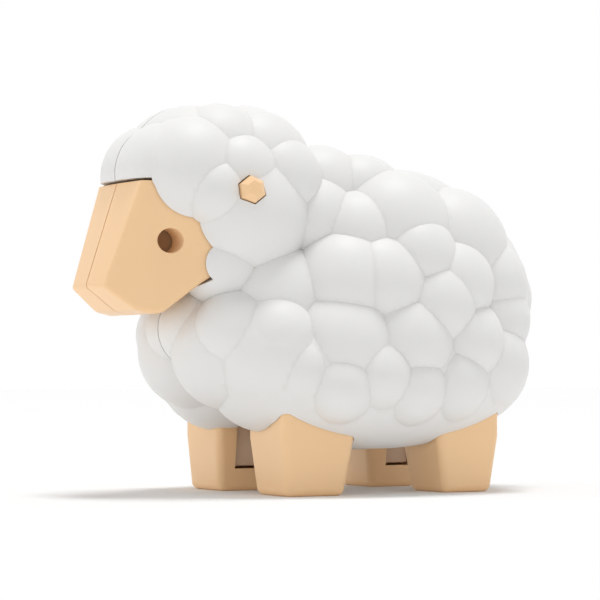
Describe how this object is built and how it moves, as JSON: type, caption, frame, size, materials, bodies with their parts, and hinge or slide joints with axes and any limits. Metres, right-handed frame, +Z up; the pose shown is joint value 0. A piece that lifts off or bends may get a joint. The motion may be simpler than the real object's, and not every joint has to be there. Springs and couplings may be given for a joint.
{
  "type": "sheep figurine",
  "caption": "Tufted white sheep figurine with tan face, ears and legs, made as hollow halves that pull apart sideways around a standing inner skeleton.",
  "frame": {"origin": "on the floor under the middle of the figurine, on the plane where the halves meet", "axes": "+Z up, -X towards the nose, -Y towards the sheep's left side, which is the side the picture shows"},
  "size_m": [0.0946, 0.0584, 0.0721],
  "materials": {
    "wool": "satin white moulded plastic",
    "tan": "satin tan moulded plastic",
    "bone": "matte ivory moulded plastic",
    "magnet": "nickel-plated disc"
  },
  "bodies": {
    "right_half": {"fleece_right": "wool", "face_right": "tan", "ear_right": "tan", "leg_front_right": "tan", "leg_rear_right": "tan", "magnets_right": "magnet"},
    "left_half": {"fleece_left": "wool", "face_left": "tan", "ear_left": "tan", "leg_front_left": "tan", "leg_rear_left": "tan", "magnets_left": "magnet"},
    "skeleton": {"skull": "bone", "spine": "bone", "ribs": "bone", "shoulder": "bone", "pelvis": "bone", "front_leg_bone_left": "bone", "front_leg_bone_right": "bone", "rear_leg_bone_left": "bone", "rear_leg_bone_right": "bone"}
  },
  "joints": [
    {"name": "halves_slide", "type": "slide", "parent": "right_half", "child": "left_half", "axis": [0, -1, 0], "range_m": [0, 0.06]},
    {"name": "skeleton_slide", "type": "slide", "parent": "right_half", "child": "skeleton", "axis": [0, -1, 0], "range_m": [0, 0.03]}
  ],
  "couplings": [
    {"joint": "skeleton_slide", "follows": "halves_slide", "ratio": 0.5}
  ]
}
